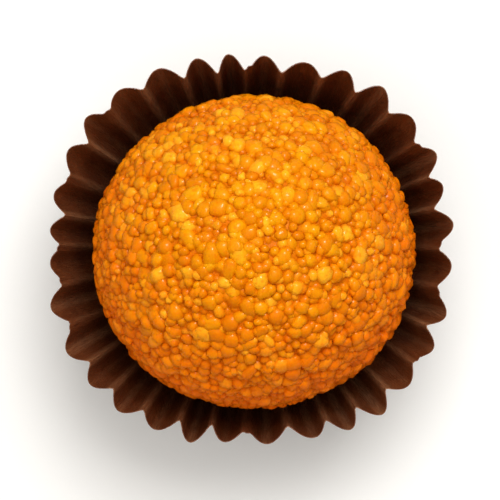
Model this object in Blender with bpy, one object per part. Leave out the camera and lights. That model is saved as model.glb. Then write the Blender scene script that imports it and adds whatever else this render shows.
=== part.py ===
"""A laddu in its fluted paper case: small fried pearls of gram flour, pressed by hand into a ball."""

import math
import random

import bmesh
import bpy
from mathutils import Vector

# The paper case, from its flat floor up. All sizes are in metres.
FLOOR_RADIUS = 0.0175  # where the wall turns up
WALL_SLANT = 0.0232  # paper from the floor's edge to the rim
RIM_RADIUS = 0.0260  # to the middle of the flutes, at the rim
RIM_SQUARENESS = 0.0008  # the rim reaches this much further at four corners
RIM_OVALNESS = 0.0006  # and this much further along X than the mean
PAPER = 0.0003
FLUTES = 32
FOLD_SOFTNESS = 0.76  # sharp folds would reach 1; rounded crests take up more paper
FLARE_CURVE = 0.8  # under 1, the wall flares most near the floor
WALL_ROWS = (0.0, 0.1, 0.32, 0.64, 1.0)  # shares of the slant where the mesh has a ring
STEPS_PER_FLUTE = 6

# The ball
BALL_HALF_X = 0.0213
BALL_HALF_Y = 0.0207
BALL_HALF_Z = 0.0208
FLAT_SPOT_RADIUS = 0.0085  # the ball has settled on its own weight
BALL_SHIFT = Vector((0.0004, -0.0003, 0.0))  # it lies a little off the case's centre
GAP = 0.0003  # between the ball and the paper under it
PEARL_PITCH = 0.00205  # from the middle of a pearl to the middle of the next
GROOVE_DEPTH = 0.0005  # of the valleys between pearls
PEARL_UNEVENNESS = 0.00013  # how far a pearl stands in or out
PEARL_SEED = 7
GOLDEN_ANGLE = math.pi * (3 - math.sqrt(5))


def clear_scene():
    for obj in list(bpy.data.objects):
        bpy.data.objects.remove(obj, do_unlink=True)


def finish(name, colour, roughness):
    """A Principled material of one colour."""
    material = bpy.data.materials.new(name)
    material.use_nodes = True
    shader = material.node_tree.nodes["Principled BSDF"]
    shader.inputs["Base Color"].default_value = (*colour, 1.0)
    shader.inputs["Roughness"].default_value = roughness
    shader.inputs["Metallic"].default_value = 0.0
    return material


def put_in_scene(name, mesh, material):
    obj = bpy.data.objects.new(name, mesh)
    obj.data.materials.append(material)
    bpy.context.scene.collection.objects.link(obj)
    return obj


def flute_profile(step):
    """How far out the paper stands across one flute: 0 at the tight inward fold, 1 at the round crest."""
    return abs(math.sin(math.pi * step))


def wall_point(around, share):
    """A point of the wall's outer face: around counts flutes, share is that of the slant."""
    turn = 2 * math.pi * around / FLUTES
    uneven_width = 0.09 * math.sin(5 * turn + 1.1) + 0.06 * math.sin(9 * turn + 0.3)
    angle = turn + 2 * math.pi * uneven_width / FLUTES
    middle = FLOOR_RADIUS + (RIM_RADIUS - FLOOR_RADIUS) * share**FLARE_CURVE
    middle += (RIM_OVALNESS * math.cos(2 * angle) - RIM_SQUARENESS * math.cos(4 * angle)) * share**2
    # The same paper goes round at every height, so the folds take up what the flare leaves over.
    paper_length = math.pi * (FLOOR_RADIUS + WALL_SLANT * share) / FLUTES
    straight_length = math.pi * middle / FLUTES
    depth = FOLD_SOFTNESS * math.sqrt(max(paper_length**2 - straight_length**2, 0.0))
    uneven_depth = 1 + 0.12 * math.sin(7 * turn + 2.0) + 0.10 * math.sin(13 * turn + 0.7)
    radius = middle + depth * uneven_depth * (flute_profile(around % 1) - 0.5)
    rise = math.sqrt((WALL_SLANT * share) ** 2 - (radius - FLOOR_RADIUS) ** 2) if share else 0.0
    return Vector((radius * math.cos(angle), radius * math.sin(angle), rise))


def paper_case():
    """The floor and the fluted wall as one sheet, which is then given its thickness inwards."""
    bm = bmesh.new()
    columns = [step / STEPS_PER_FLUTE for step in range(FLUTES * STEPS_PER_FLUTE)]
    rings = [[bm.verts.new(wall_point(around, share)) for around in columns] for share in WALL_ROWS]
    middle = bm.verts.new((0, 0, 0))
    for here in range(len(columns)):
        after = (here + 1) % len(columns)
        bm.faces.new((middle, rings[0][after], rings[0][here]))
        for lower, upper in zip(rings, rings[1:]):
            bm.faces.new((lower[here], lower[after], upper[after]))
            bm.faces.new((lower[here], upper[after], upper[here]))
    mesh = bpy.data.meshes.new("paper_case")
    bm.to_mesh(mesh)
    bm.free()
    case = put_in_scene("paper_case", mesh, finish("brown_paper", (0.075, 0.02, 0.006), 0.5))
    thickness = case.modifiers.new("paper", "SOLIDIFY")
    thickness.thickness = PAPER
    thickness.offset = -1.0
    return case


def pearl_directions():
    """Directions spread evenly over a sphere by the golden angle, each then nudged at random."""
    area = 4 * math.pi * BALL_HALF_Y**2
    count = round(area / (math.sqrt(3) / 2 * PEARL_PITCH**2))
    draw = random.Random(PEARL_SEED)
    nudge = 0.3 * PEARL_PITCH / BALL_HALF_Y
    directions = []
    for i in range(count):
        height = 1 - 2 * (i + 0.5) / count
        across = math.sqrt(1 - height**2)
        direction = Vector((across * math.cos(i * GOLDEN_ANGLE), across * math.sin(i * GOLDEN_ANGLE), height))
        direction += Vector([draw.uniform(-nudge, nudge) for _ in range(3)])
        directions.append(direction.normalized())
    return directions


def hand_rolled(direction):
    """The ball's smooth surface in this direction, with the slight lumps that a palm leaves."""
    x, y, z = direction
    lump = 0.006 * math.sin(3.1 * x + 1.0) * math.cos(2.7 * y - 0.5) + 0.005 * math.sin(4.3 * z + 2.0 * x)
    return Vector((x * BALL_HALF_X, y * BALL_HALF_Y, z * BALL_HALF_Z)) * (1 + lump)


def laddu():
    """A ball covered in pearls: each is a low pyramid over its own cell, with grooves round it."""
    bm = bmesh.new()
    for direction in pearl_directions():
        bm.verts.new(direction)
    bmesh.ops.convex_hull(bm, input=bm.verts)
    between_pearls = list(bm.edges)
    tops = set(bm.verts)
    bmesh.ops.poke(bm, faces=list(bm.faces))
    bmesh.ops.rotate_edges(bm, edges=between_pearls, use_ccw=False)
    draw = random.Random(PEARL_SEED + 1)
    for vertex in bm.verts:
        direction = vertex.co.normalized()
        stands_out = draw.uniform(-1, 1) * PEARL_UNEVENNESS if vertex in tops else -GROOVE_DEPTH
        vertex.co = hand_rolled(direction) + direction * stands_out
    sole = -BALL_HALF_Z * math.sqrt(1 - (FLAT_SPOT_RADIUS / BALL_HALF_Y) ** 2)
    for vertex in bm.verts:
        vertex.co.z = max(vertex.co.z, sole)
    bmesh.ops.recalc_face_normals(bm, faces=list(bm.faces))
    mesh = bpy.data.meshes.new("laddu")
    bm.to_mesh(mesh)
    bm.free()
    ball = put_in_scene("laddu", mesh, finish("pressed_pearls", (0.80, 0.24, 0.01), 0.5))
    ball.location = BALL_SHIFT + Vector((0, 0, PAPER + GAP - sole))
    return ball


clear_scene()
paper_case()
laddu()
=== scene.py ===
"""The looks of a laddu in its fluted paper case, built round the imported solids. All sizes are in metres."""

import math

import bpy
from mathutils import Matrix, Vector


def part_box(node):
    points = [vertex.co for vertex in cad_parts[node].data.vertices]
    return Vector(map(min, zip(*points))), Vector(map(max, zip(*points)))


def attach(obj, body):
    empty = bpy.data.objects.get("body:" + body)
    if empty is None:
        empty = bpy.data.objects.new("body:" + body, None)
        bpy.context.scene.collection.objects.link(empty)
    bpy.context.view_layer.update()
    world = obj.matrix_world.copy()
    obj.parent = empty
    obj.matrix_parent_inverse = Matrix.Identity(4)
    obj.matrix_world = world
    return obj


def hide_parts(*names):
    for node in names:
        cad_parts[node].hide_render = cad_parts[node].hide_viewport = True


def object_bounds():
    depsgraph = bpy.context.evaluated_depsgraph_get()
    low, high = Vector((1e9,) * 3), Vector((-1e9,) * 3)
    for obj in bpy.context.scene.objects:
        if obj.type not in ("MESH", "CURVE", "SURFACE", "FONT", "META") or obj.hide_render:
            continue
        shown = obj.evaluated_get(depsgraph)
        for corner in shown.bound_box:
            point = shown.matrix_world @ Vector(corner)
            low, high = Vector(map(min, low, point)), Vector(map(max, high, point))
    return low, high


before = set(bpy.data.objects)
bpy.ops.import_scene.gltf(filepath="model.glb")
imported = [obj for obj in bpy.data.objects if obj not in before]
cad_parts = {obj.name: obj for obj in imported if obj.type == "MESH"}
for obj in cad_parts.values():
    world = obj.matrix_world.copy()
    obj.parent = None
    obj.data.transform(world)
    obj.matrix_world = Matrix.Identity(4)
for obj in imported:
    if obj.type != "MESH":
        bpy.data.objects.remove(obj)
cad_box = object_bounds()


# Paper case
# The real one is a round of dark brown greaseproof paper, 81 mm across. A die presses it into a
# flat floor and 32 uneven flutes, and nothing but the folds keeps it standing.
FLOOR_RADIUS = 0.0175
WALL_SLANT = 0.0232
PAPER = 0.00012
FLUTES = 32
CASE_SIZES = {
    "Columns": FLUTES * 20 + 1,
    "Rows": 37,
    "Flutes": float(FLUTES),
    "Floor radius": FLOOR_RADIUS,
    "Wall slant": WALL_SLANT,
    "Rim radius": 0.0260,
    "Rim squareness": 0.0008,
    "Rim ovalness": 0.0006,
    "Flare curve": 0.8,
    "Fold softness": 0.76,
    "Crest difference": 0.14,
    "Crest lean": 0.012,
    "Small fold": 0.3,
    "Fold width": 0.12,
    "Crumple": 0.00016,
    "Seed": 4,
}
FLOOR_ROWS = 0.25
PLAIN_FOLDS = 0.6
SMALL_FOLD_HALF_WIDTH = 0.11
PLEATS_AROUND = 40.0
PLEATS_ALONG = 150.0
SHARP_FOLD_DEGREES = 55
DEEP_BROWN = (70, 22, 5)
PALE_BROWN = (102, 51, 22)
PALE_FIBRE = (150, 100, 60)
CREASE_WEAR_AND_HIGHLIGHT_BROWN = (160, 112, 75)
WORN_AND_SHEEN_BROWN = (172, 124, 86)


def linear(colour):
    """A colour as it looks on a screen, 0 to 255 each, as the linear values that Blender takes."""
    shares = [channel / 255 for channel in colour]
    return [s / 12.92 if s < 0.04045 else ((s + 0.055) / 1.055) ** 2.4 for s in shares] + [1.0]


def add_node(tree, kind, inputs=None, **options):
    """Adds a node, sets its options and feeds its inputs with fields, sockets or plain values."""
    node = tree.nodes.new(kind)
    for option, value in options.items():
        setattr(node, option, value)
    for key, value in (inputs or {}).items():
        source = value.socket if isinstance(value, Field) else value
        if isinstance(source, bpy.types.NodeSocket):
            tree.links.new(source, node.inputs[key])
        else:
            node.inputs[key].default_value = source
    return node


class Field:
    """A value in a node tree, so that a formula made of nodes is written as arithmetic."""

    def __init__(self, socket):
        self.socket = socket
        self.tree = socket.id_data

    def math(self, operation, *others):
        inputs = dict(enumerate((self, *others)))
        return Field(add_node(self.tree, "ShaderNodeMath", inputs, operation=operation).outputs[0])

    def __add__(self, other):
        return self.math("ADD", other)

    def __sub__(self, other):
        return self.math("SUBTRACT", other)

    def __rsub__(self, other):
        return self.math("MULTIPLY", -1.0).math("ADD", other)

    def __mul__(self, other):
        return self.math("MULTIPLY", other)

    def __truediv__(self, other):
        return self.math("DIVIDE", other)

    def __pow__(self, other):
        return self.math("POWER", other)

    def fade(self, start, end):
        """0 where this is below start, 1 where it is above end, and smooth in between."""
        inputs = {"Value": self, "From Min": start, "From Max": end}
        node = add_node(self.tree, "ShaderNodeMapRange", inputs, interpolation_type="SMOOTHSTEP")
        return Field(node.outputs["Result"])


def sine(angle):
    return angle.math("SINE")


def cosine(angle):
    return angle.math("COSINE")


def vector(x, y, z):
    """Three numbers as one vector."""
    tree = next(part.tree for part in (x, y, z) if isinstance(part, Field))
    return Field(add_node(tree, "ShaderNodeCombineXYZ", {0: x, 1: y, 2: z}).outputs[0])


def parts_of(place):
    """The X, Y and Z of a vector."""
    node = add_node(place.tree, "ShaderNodeSeparateXYZ", {0: place})
    return [Field(output) for output in node.outputs]


def vector_math(operation, *values):
    """A vector sum, such as NORMALIZE or MULTIPLY. LENGTH gives a number."""
    tree = next(value.tree for value in values if isinstance(value, Field))
    node = add_node(tree, "ShaderNodeVectorMath", dict(enumerate(values)), operation=operation)
    return Field(node.outputs["Value" if operation == "LENGTH" else "Vector"])


def noise(place, scale, detail=2.0, output="Fac", **inputs):
    """Noise from 0 to 1, with this many lumps to a unit of the place, which is mostly a metre."""
    inputs = {"Vector": place, "Scale": scale, "Detail": detail} | inputs
    return Field(add_node(place.tree, "ShaderNodeTexNoise", inputs).outputs[output])


def random_number(tree, low, high, seed, identity=None):
    """A number between low and high for each point, or for each value of identity."""
    node = add_node(tree, "FunctionNodeRandomValue", data_type="FLOAT")
    inputs = {socket.name: socket for socket in node.inputs if socket.enabled}
    inputs["Min"].default_value = low
    inputs["Max"].default_value = high
    tree.links.new(seed.socket, inputs["Seed"])
    if identity is not None:
        tree.links.new(identity.socket, inputs["ID"])
    return Field(next(socket for socket in node.outputs if socket.enabled))


def new_tree(name, sizes):
    """A Geometry Nodes tree with a named input for each size, and those inputs as fields."""
    tree = bpy.data.node_groups.new(name, "GeometryNodeTree")
    tree.interface.new_socket("Geometry", in_out="OUTPUT", socket_type="NodeSocketGeometry")
    for label, value in sizes.items():
        kind = "NodeSocketInt" if isinstance(value, int) else "NodeSocketFloat"
        tree.interface.new_socket(label, in_out="INPUT", socket_type=kind)
    entry = tree.nodes.new("NodeGroupInput")
    return tree, {label: Field(entry.outputs[label]) for label in sizes}


def own_place(tree):
    """The place of each point."""
    return Field(add_node(tree, "GeometryNodeInputPosition").outputs[0])


def move(tree, geometry, **how):
    """Sets each point's Position, or adds an Offset to it."""
    return add_node(tree, "GeometryNodeSetPosition", {"Geometry": geometry} | how).outputs[0]


def store(tree, geometry, name, value, kind="FLOAT"):
    """Keeps a field on the points as a named attribute, for the material to read."""
    inputs = {"Geometry": geometry, "Name": name, "Value": value}
    node = add_node(tree, "GeometryNodeStoreNamedAttribute", inputs, data_type=kind, domain="POINT")
    return node.outputs["Geometry"]


def end_tree(tree, geometry, material):
    """Realizes what the tree made, shades it smooth, gives it its material and puts it out."""
    real = add_node(tree, "GeometryNodeRealizeInstances", {"Geometry": geometry})
    smooth = add_node(tree, "GeometryNodeSetShadeSmooth", {"Geometry": real.outputs[0]})
    finish = {"Geometry": smooth.outputs[0], "Material": material}
    painted = add_node(tree, "GeometryNodeSetMaterial", finish)
    add_node(tree, "NodeGroupOutput", {"Geometry": painted.outputs[0]})


def grow(name, tree, sizes, thickness=None):
    """Runs a tree with these sizes and gives back its result as an object with a plain mesh."""
    piece = bpy.data.objects.new(name, bpy.data.meshes.new(name))
    bpy.context.scene.collection.objects.link(piece)
    modifier = piece.modifiers.new("shape", "NODES")
    modifier.node_group = tree
    for socket in tree.interface.items_tree:
        if socket.in_out == "INPUT":
            modifier[socket.identifier] = sizes[socket.name]
    if thickness:
        sheet = piece.modifiers.new("thickness", "SOLIDIFY")
        sheet.thickness = thickness
        sheet.offset = -1.0
    evaluated = piece.evaluated_get(bpy.context.evaluated_depsgraph_get())
    mesh = bpy.data.meshes.new_from_object(evaluated)
    piece.modifiers.clear()
    piece.data = mesh
    return piece


def case_tree(material):
    """The flat round of paper as a grid, with each point moved to where the die presses it."""
    tree, size = new_tree("fluted_paper_case", CASE_SIZES)
    points = {"Vertices X": size["Columns"], "Vertices Y": size["Rows"]}
    grid = add_node(tree, "GeometryNodeMeshGrid", {"Size X": 1.0, "Size Y": 1.0} | points)
    across, out, _ = parts_of(own_place(tree))
    turn = (across + 0.5) * math.tau
    around = (across + 0.5) * size["Flutes"]
    on_floor = ((out + 0.5) / FLOOR_ROWS).math("MINIMUM", 1.0)
    share = ((out + (0.5 - FLOOR_ROWS)) / (1.0 - FLOOR_ROWS)).math("MAXIMUM", 0.0)
    along = on_floor * size["Floor radius"] + share * size["Wall slant"]
    flat_place = vector(cosine(turn) * along, sine(turn) * along, 0.0)
    step = around.math("FRACT")
    flute = around.math("FLOOR").math("MODULO", size["Flutes"])

    # Each flute is tight at its inward fold and round at its crest, and some inward folds hold a small one.
    wave = sine(step * math.pi)
    profile = (wave * wave + size["Fold width"] ** 2.0).math("SQRT") - size["Fold width"]
    crest_height = random_number(tree, -1.0, 1.0, size["Seed"], flute) * size["Crest difference"] + 1.0
    lean = random_number(tree, -1.0, 1.0, size["Seed"] + 1.0, flute) * size["Crest lean"]
    nearest_fold = (around + 0.5).math("FLOOR").math("MODULO", size["Flutes"])
    chance = random_number(tree, 0.0, 1.0, size["Seed"] + 2.0, nearest_fold)
    has_small = chance.math("GREATER_THAN", PLAIN_FOLDS)
    small_at = random_number(tree, 0.46, 0.54, size["Seed"] + 3.0, nearest_fold)
    from_small = ((around + 0.5).math("FRACT") - small_at).math("ABSOLUTE")
    small = (1.0 - from_small / SMALL_FOLD_HALF_WIDTH).math("MAXIMUM", 0.0) * has_small
    height = profile * crest_height + small * size["Small fold"] * share

    # The wall flares from the floor's edge, and the folds take up the paper that the flare leaves over.
    uneven_width = sine(turn * 5.0 + 1.1) * 0.09 + sine(turn * 9.0 + 0.3) * 0.06
    angle = turn + uneven_width * math.tau / size["Flutes"]
    oval = size["Rim ovalness"] * cosine(angle * 2.0) - size["Rim squareness"] * cosine(angle * 4.0)
    flare = (size["Rim radius"] - size["Floor radius"]) * share ** size["Flare curve"]
    middle = size["Floor radius"] + flare + oval * share**2.0
    paper_length = (size["Floor radius"] + size["Wall slant"] * share) * math.pi / size["Flutes"]
    straight_length = middle * math.pi / size["Flutes"]
    left_over = (paper_length**2.0 - straight_length**2.0).math("MAXIMUM", 0.0)
    depth = left_over.math("SQRT") * size["Fold softness"]
    uneven_depth = sine(turn * 7.0 + 2.0) * 0.12 + sine(turn * 13.0 + 0.7) * 0.10 + 1.0
    crumpled = (noise(flat_place, 190.0) - 0.5) * size["Crumple"] * 2.0 * share
    wall_radius = middle + depth * uneven_depth * (height - 0.5) + crumpled
    run = wall_radius - size["Floor radius"]
    rise = ((size["Wall slant"] * share) ** 2.0 - run**2.0).math("MAXIMUM", 0.0).math("SQRT")
    on_wall = share.math("GREATER_THAN", 0.0)
    radius = on_wall * wall_radius + (1.0 - on_wall) * along
    final_angle = angle + lean * height * share
    pressed_place = vector(cosine(final_angle) * radius, sine(final_angle) * radius, rise * on_wall)

    # The die's fine pleats are close together round the case and long up its wall.
    press_place = vector(cosine(turn) * PLEATS_AROUND, sine(turn) * PLEATS_AROUND, along * PLEATS_ALONG)
    sheet = store(tree, grid.outputs["Mesh"], "flat_place", flat_place, "FLOAT_VECTOR")
    sheet = store(tree, sheet, "press_place", press_place, "FLOAT_VECTOR")
    sheet = store(tree, sheet, "crest", height * share.fade(0.0, 0.12))
    sheet = store(tree, sheet, "up_wall", share)
    pressed = move(tree, sheet, Position=pressed_place)
    closed = add_node(tree, "GeometryNodeMergeByDistance", {"Geometry": pressed, "Distance": 1e-6})
    end_tree(tree, closed.outputs[0], material)
    return tree


def new_material(name):
    """A material with its node tree and its Principled shader."""
    material = bpy.data.materials.new(name)
    material.use_nodes = True
    return material, material.node_tree, material.node_tree.nodes["Principled BSDF"]


def stored(tree, name, output="Fac"):
    """An attribute of the mesh, as the material reads it."""
    return Field(add_node(tree, "ShaderNodeAttribute", attribute_name=name).outputs[output])


def mix(share, first, second):
    """The first colour where share is 0, the second where it is 1."""
    node = add_node(share.tree, "ShaderNodeMix", {0: share, 6: first, 7: second}, data_type="RGBA")
    return node.outputs[2]


def bump(height, distance, strength=1.0, under=None):
    """Raises the surface by distance where height is 1."""
    inputs = {"Height": height, "Distance": distance, "Strength": strength}
    if under:
        inputs["Normal"] = under
    return add_node(height.tree, "ShaderNodeBump", inputs).outputs["Normal"]


def greaseproof_paper():
    """Dense brown paper: cloudy, with fine fibres, paler towards its rim, and paler along its folds and
    crests, partly from wear and partly from a painted highlight and sheen.
    """
    material, tree, shader = new_material("brown_greaseproof_paper")
    flat_place = stored(tree, "flat_place", "Vector")
    clouds = noise(flat_place, 260.0, 4.0)
    fibres = noise(flat_place, 2600.0, 3.0, Distortion=2.5)
    up_wall = stored(tree, "up_wall")
    wall = up_wall.fade(0.0, 0.08)
    pleats = noise(stored(tree, "press_place", "Vector"), 3.0, 3.0)
    crest = stored(tree, "crest")
    # Paler in random clouds and towards the rim, darker low on the wall near the laddu.
    paleness = clouds.fade(0.3, 0.7) * 0.5 + up_wall.fade(0.4, 1.0) * 0.5
    body = mix(paleness, linear(DEEP_BROWN), linear(PALE_BROWN))
    fibrous = mix(fibres.fade(0.48, 0.7) * 0.45, body, linear(PALE_FIBRE))
    # Paler along the inward folds: partly cracked colour, partly a painted highlight where the folds catch
    # the light.
    crease_wear_and_highlight = (1.0 - crest.fade(0.0, 0.34)) * (pleats.fade(0.35, 0.65) * 0.4 + 0.28) * wall
    folded = mix(crease_wear_and_highlight, fibrous, linear(CREASE_WEAR_AND_HIGHLIGHT_BROWN))
    # Paler along the outer crests: partly wear, partly a painted sheen.
    wear_and_sheen = crest.fade(0.74, 1.0) * (pleats.fade(0.3, 0.7) * 0.3 + 0.15)
    tree.links.new(mix(wear_and_sheen, folded, linear(WORN_AND_SHEEN_BROWN)), shader.inputs["Base Color"])
    tree.links.new((clouds * 0.16 + fibres * 0.12 + 0.24).socket, shader.inputs["Roughness"])
    shader.inputs["Specular IOR Level"].default_value = 0.5
    pleated = bump(pleats * wall + clouds * 0.5, 0.00025)
    tree.links.new(bump(fibres, 0.00005, under=pleated), shader.inputs["Normal"])
    return material


paper_case = grow("paper_case_sheet", case_tree(greaseproof_paper()), CASE_SIZES, thickness=PAPER)
paper_case.data.set_sharp_from_angle(angle=math.radians(SHARP_FOLD_DEGREES))
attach(paper_case, "root")
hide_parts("paper_case")


# Laddu
# Pearls of gram-flour batter, fried, soaked in syrup and ghee, and pressed between two palms while
# warm. They keep their skins, flatten where the palms were, and crumbs and syrup fill between them.
BALL_HALF_Y = 0.0207
BALL_HALF_Z = 0.0208
FLAT_SPOT_RADIUS = 0.0085
BALL_SIZES = {
    "Half X": 0.0213,
    "Half Y": BALL_HALF_Y,
    "Half Z": BALL_HALF_Z,
    "Sole": -BALL_HALF_Z * math.sqrt(1 - (FLAT_SPOT_RADIUS / BALL_HALF_Y) ** 2),
}
BALL_RADIUS = 0.0209
SOLE_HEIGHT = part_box("laddu")[0].z
BALL_CENTRE = Vector((0.0004, -0.0003, SOLE_HEIGHT - BALL_SIZES["Sole"]))
PEARL_GIRTHS = (0.78, 1.24)
PEARL_STRETCHES = (1.0, 1.5)
CLUSTERS_TO_A_METRE = 240.0
DENTS_TO_A_METRE = 620.0
CORE_SIZES = BALL_SIZES | {"Points to a side": 90, "Depth": 0.00062, "Swell": 0.0004, "Roughness": 0.0003}
PEARL_SIZES = BALL_SIZES | {
    "Points to a side": 4,
    "Spacing": 0.00124,
    "Density": 500000.0,
    "Radius": 0.00107,
    "Height": 0.00012,
    "Standing out": 0.00026,
    "Swell": 0.0004,
    "Unevenness": 0.0011,
    "Pressed to": 0.00038,
    "Seed": 11,
}
CRUMB_SIZES = BALL_SIZES | {
    "Points to a side": 3,
    "Spacing": 0.00108,
    "Density": 2e7,
    "Radius": 0.00076,
    "Height": -0.00012,
    "Standing out": 0.00016,
    "Swell": 0.0004,
    "Unevenness": 0.0007,
    "Pressed to": 0.0002,
    "Seed": 23,
}
AMBER = (206, 117, 0)
GOLD = (222, 145, 2)
PALE_GOLD = (240, 168, 28)
WELL_FRIED = (220, 114, 0)
TOASTED_SPECK = (208, 98, 0)
SHADE_ORANGE = (230, 93, 0)
GAP_SYRUP_AND_SHADE_ORANGE = (184, 72, 0)


def lumpiness(direction):
    """The slight lumps that a palm leaves, as a factor on the ball's radius."""
    x, y, z = parts_of(direction)
    return sine(x * 3.1 + 1.0) * cosine(y * 2.7 - 0.5) * 0.006 + sine(z * 4.3 + x * 2.0) * 0.005 + 1.0


def half_sizes(size):
    """The ball's half sizes along X, Y and Z as one vector."""
    return vector(size["Half X"], size["Half Y"], size["Half Z"])


def scaled(arrow, amount):
    """A vector made this many times as long."""
    return vector_math("MULTIPLY", arrow, vector(amount, amount, amount))


def hand_rolled(direction, size):
    """The ball's smooth surface in this direction from its centre."""
    stretched = vector_math("MULTIPLY", direction, half_sizes(size))
    return scaled(stretched, lumpiness(direction))


def swell(place, size):
    """How far a whole cluster of pearls stands in or out here, in metres."""
    return (noise(place, CLUSTERS_TO_A_METRE, 1.0) - 0.5) * size["Swell"] * 2.0


def height_over(place, size):
    """How far a place stands out from the smooth surface, in metres, and its direction."""
    shrunk = vector_math("DIVIDE", place, half_sizes(size))
    direction = vector_math("NORMALIZE", shrunk)
    height = (vector_math("LENGTH", shrunk) - lumpiness(direction)) * BALL_RADIUS
    return height, direction


def settled(place, size):
    """Flattens whatever would hang below the sole, where the ball sits on the paper."""
    x, y, z = parts_of(place)
    margin = 0.0004
    below = ((size["Sole"] + margin - z) / margin).math("MAXIMUM", 0.0)
    return vector(x, y, z.math("MAXIMUM", size["Sole"] + margin) - below.math("TANH") * margin)


def place_in_case(tree, geometry, size):
    """Flattens the sole and sets the ball down in its case."""
    placed = vector_math("ADD", settled(own_place(tree), size), tuple(BALL_CENTRE))
    return move(tree, geometry, Position=placed)


def cube_grid(tree, size):
    """A cube with its faces divided, whose points are then drawn in to a ball."""
    points = dict.fromkeys((1, 2, 3), size["Points to a side"])
    return add_node(tree, "GeometryNodeMeshCube", {"Size": (2.0, 2.0, 2.0)} | points).outputs["Mesh"]


def core_tree(material):
    """The paste of crumbs and syrup that shows between the pearls: a rough ball just under them."""
    tree, size = new_tree("laddu_core", CORE_SIZES)
    here = own_place(tree)
    direction = vector_math("NORMALIZE", here)
    skin = hand_rolled(direction, size)
    grit = (noise(direction, 24.0, 3.0) - 0.5) * size["Roughness"] * 2.0 + swell(skin, size) - size["Depth"]
    rough = vector_math("ADD", skin, scaled(direction, grit))
    shaped = move(tree, cube_grid(tree, size), Position=rough)
    named = store(tree, shaped, "tone", noise(here, 1500.0) * 0.4 + 0.1)
    named = store(tree, named, "height", height_over(here, size)[0])
    end_tree(tree, place_in_case(tree, named, size), material)
    return tree


def pearl_tree(name, sizes, material):
    """Small balls strewn over the ball's surface, then pressed flat where they stand out of it."""
    tree, size = new_tree(name, sizes)
    here = own_place(tree)
    ball = add_node(tree, "GeometryNodeMeshIcoSphere", {"Radius": 1.0, "Subdivisions": 6}).outputs["Mesh"]
    skin = move(tree, ball, Position=hand_rolled(vector_math("NORMALIZE", here), size))
    strewing = {"Mesh": skin, "Seed": size["Seed"]}
    strewing |= {"Distance Min": size["Spacing"], "Density Max": size["Density"]}
    strewn = add_node(tree, "GeometryNodeDistributePointsOnFaces", strewing, distribute_method="POISSON")
    girth = random_number(tree, *PEARL_GIRTHS, size["Seed"] + 12.0)
    stands_out = random_number(tree, -1.0, 1.0, size["Seed"] + 1.0) * size["Standing out"] + size["Height"]
    stands_out += swell(here, size)
    sunk_by = scaled(Field(strewn.outputs["Normal"]), stands_out - girth * size["Radius"])
    sunk = move(tree, strewn.outputs["Points"], Offset=sunk_by)
    toned = store(tree, sunk, "tone", random_number(tree, 0.0, 1.0, size["Seed"] + 2.0))

    round_place = scaled(vector_math("NORMALIZE", here), size["Radius"])
    pearl = move(tree, cube_grid(tree, size), Position=round_place)
    turns = [random_number(tree, 0.0, math.tau, size["Seed"] + 3.0 + i) for i in range(3)]
    length = girth * random_number(tree, *PEARL_STRETCHES, size["Seed"] + 6.0)
    copies = {"Points": toned, "Instance": pearl}
    copies |= {"Rotation": vector(*turns), "Scale": vector(length, girth, girth)}
    strewn_pearls = add_node(tree, "GeometryNodeInstanceOnPoints", copies)
    real = add_node(tree, "GeometryNodeRealizeInstances", {"Geometry": strewn_pearls.outputs[0]})

    wobble = vector_math("SUBTRACT", noise(here, DENTS_TO_A_METRE, 1.0, "Color"), (0.5, 0.5, 0.5))
    uneven = move(tree, real.outputs[0], Offset=scaled(wobble, size["Unevenness"]))
    height, direction = height_over(here, size)
    # Palms press some sides flatter than others.
    limit = size["Pressed to"] * (noise(direction, 1.6, 1.0).fade(0.3, 0.7) * 1.2 + 0.4)
    over = height.math("MAXIMUM", 0.0)
    pressed_by = (over / limit).math("TANH") * limit - over
    pressed = move(tree, uneven, Offset=scaled(direction, pressed_by))
    named = store(tree, pressed, "height", height)
    end_tree(tree, place_in_case(tree, named, size), material)
    return tree


def fried_batter():
    """Fried gram-flour batter soaked in syrup: amber to deep orange, moist and faintly see-through, with
    painted shade low down, on the side away from the window and in the gaps.
    """
    material, tree, shader = new_material("syrup_soaked_pearls")
    place = Field(add_node(tree, "ShaderNodeTexCoord").outputs["Object"])
    tone = stored(tree, "tone")
    height = stored(tree, "height")
    blotches = noise(place, 420.0, 3.0)
    pores = noise(place, 5200.0, 3.0)
    specks = noise(place, 1900.0, 2.0)
    common = mix(tone.fade(0.0, 0.8), linear(AMBER), linear(GOLD))
    pale = mix(tone.fade(0.74, 1.0), common, linear(PALE_GOLD))
    blotched = mix(blotches.fade(0.4, 0.7) * 0.5, pale, linear(WELL_FRIED))
    speckled = mix(specks.fade(0.5, 0.72) * 0.4, blotched, linear(TOASTED_SPECK))
    _, y, z = parts_of(place)
    # Painted shade: deeper orange low on the ball and on its side away from the window.
    painted_shade = (1.0 - (z + y * 0.45).fade(0.012, 0.044)) * 0.8
    shaded = mix(painted_shade, speckled, linear(SHADE_ORANGE))
    # Darker orange in the gaps between pearls: partly the syrup there, partly painted shade.
    gap_syrup_and_shade = mix((1.0 - height.fade(-0.0008, 0.0001)) * 0.5, shaded, linear(GAP_SYRUP_AND_SHADE_ORANGE))
    tree.links.new(gap_syrup_and_shade, shader.inputs["Base Color"])
    tree.links.new((blotches * 0.3 + pores * 0.14 + 0.2).socket, shader.inputs["Roughness"])
    shader.inputs["Specular IOR Level"].default_value = 0.2
    shader.inputs["Specular Tint"].default_value = (1.0, 0.6, 0.2, 1.0)
    shader.inputs["Coat Weight"].default_value = 0.16
    shader.inputs["Coat Roughness"].default_value = 0.16
    shader.inputs["Subsurface Weight"].default_value = 0.15
    shader.inputs["Subsurface Radius"].default_value = (1.0, 0.6, 0.25)
    shader.inputs["Subsurface Scale"].default_value = 0.0005
    dimpled = bump(blotches, 0.00025, 0.6)
    tree.links.new(bump(pores, 0.00004, under=dimpled), shader.inputs["Normal"])
    return material


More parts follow.
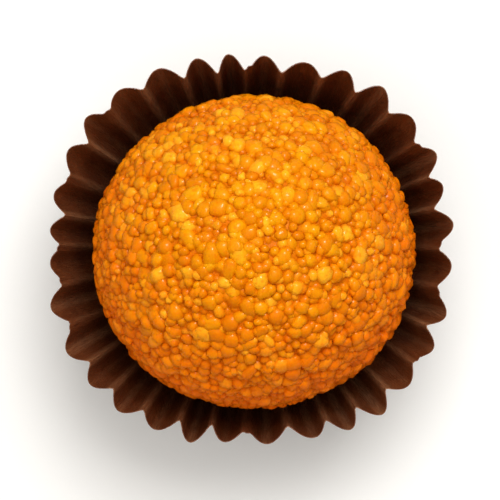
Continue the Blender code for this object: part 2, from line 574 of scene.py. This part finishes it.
batter = fried_batter()
core = grow("laddu_core", core_tree(batter), CORE_SIZES)
pearls = grow("laddu_pearls", pearl_tree("laddu_pearls", PEARL_SIZES, batter), PEARL_SIZES)
crumbs = grow("laddu_crumbs", pearl_tree("laddu_crumbs", CRUMB_SIZES, batter), CRUMB_SIZES)
for piece in (core, pearls, crumbs):
    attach(piece, "root")
    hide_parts("laddu")


# Floor, light and camera
# A plain pale table under soft studio light that comes mostly from behind, as in a kitchen by a
# window, and a camera straight overhead with a long lens.
TABLE_WHITE = (234, 232, 228)
CLOUD_WHITE = (238, 236, 232)
TABLE_HALF_WIDTH = 2
TABLE_GAP = 0.0002
FRAME_WIDTH = 0.066
LADDU_MIDDLE = 0.02
CAMERA_HEIGHT = 0.5


def pale_floor():
    """A matt white table top, very slightly cloudy and fine-grained."""
    material, tree, shader = new_material("pale_floor")
    place = Field(add_node(tree, "ShaderNodeTexCoord").outputs["Object"])
    clouds = noise(place, 14.0, 3.0)
    tree.links.new(mix(clouds, linear(TABLE_WHITE), linear(CLOUD_WHITE)), shader.inputs["Base Color"])
    tree.links.new((clouds * 0.1 + 0.65).socket, shader.inputs["Roughness"])
    tree.links.new(bump(noise(place, 900.0, 3.0), 0.00002), shader.inputs["Normal"])
    return material


around_table = ((-1, -1), (1, -1), (1, 1), (-1, 1))
corners = [(x * TABLE_HALF_WIDTH, y * TABLE_HALF_WIDTH, 0) for x, y in around_table]
floor_mesh = bpy.data.meshes.new("floor")
floor_mesh.from_pydata(corners, [], [(0, 1, 2, 3)])
floor_mesh.materials.append(pale_floor())
floor = bpy.data.objects.new("floor", floor_mesh)
floor.location.z = cad_box[0].z - TABLE_GAP
floor.visible_glossy = False
bpy.context.scene.collection.objects.link(floor)


def soft_light(name, place, width, power, glints=False):
    """A square lamp that points at the laddu. It either lights it or only gives it glints."""
    lamp = bpy.data.lights.new(name, "AREA")
    lamp.size = width
    lamp.energy = power
    holder = bpy.data.objects.new(name, lamp)
    holder.visible_diffuse = not glints
    holder.visible_glossy = glints
    holder.location = place
    holder.rotation_euler = (BALL_CENTRE - holder.location).to_track_quat("-Z", "Y").to_euler()
    bpy.context.scene.collection.objects.link(holder)


soft_light("window", Vector((0.09, 0.29, 0.5)), 0.4, 3.1)
soft_light("ceiling", Vector((-0.1, -0.1, 0.6)), 0.8, 2.6)
soft_light("lamp", Vector((0.08, 0.26, 0.5)), 0.1, 3.0, glints=True)
world = bpy.data.worlds.new("room")
world.use_nodes = True
world.node_tree.nodes["Background"].inputs["Color"].default_value = (1.0, 0.97, 0.93, 1.0)
world.node_tree.nodes["Background"].inputs["Strength"].default_value = 0.36
bpy.context.scene.world = world
world.cycles_visibility.glossy = False

# The picture is FRAME_WIDTH wide at the height of the laddu's middle.
lens = bpy.data.cameras.new("camera")
lens.sensor_width = 36.0
lens.lens = lens.sensor_width * (CAMERA_HEIGHT - LADDU_MIDDLE) / FRAME_WIDTH
camera = bpy.data.objects.new("camera", lens)
camera.location = (0.0, 0.0, CAMERA_HEIGHT)
bpy.context.scene.collection.objects.link(camera)
bpy.context.scene.camera = camera
bpy.context.scene.view_settings.view_transform = "Standard"
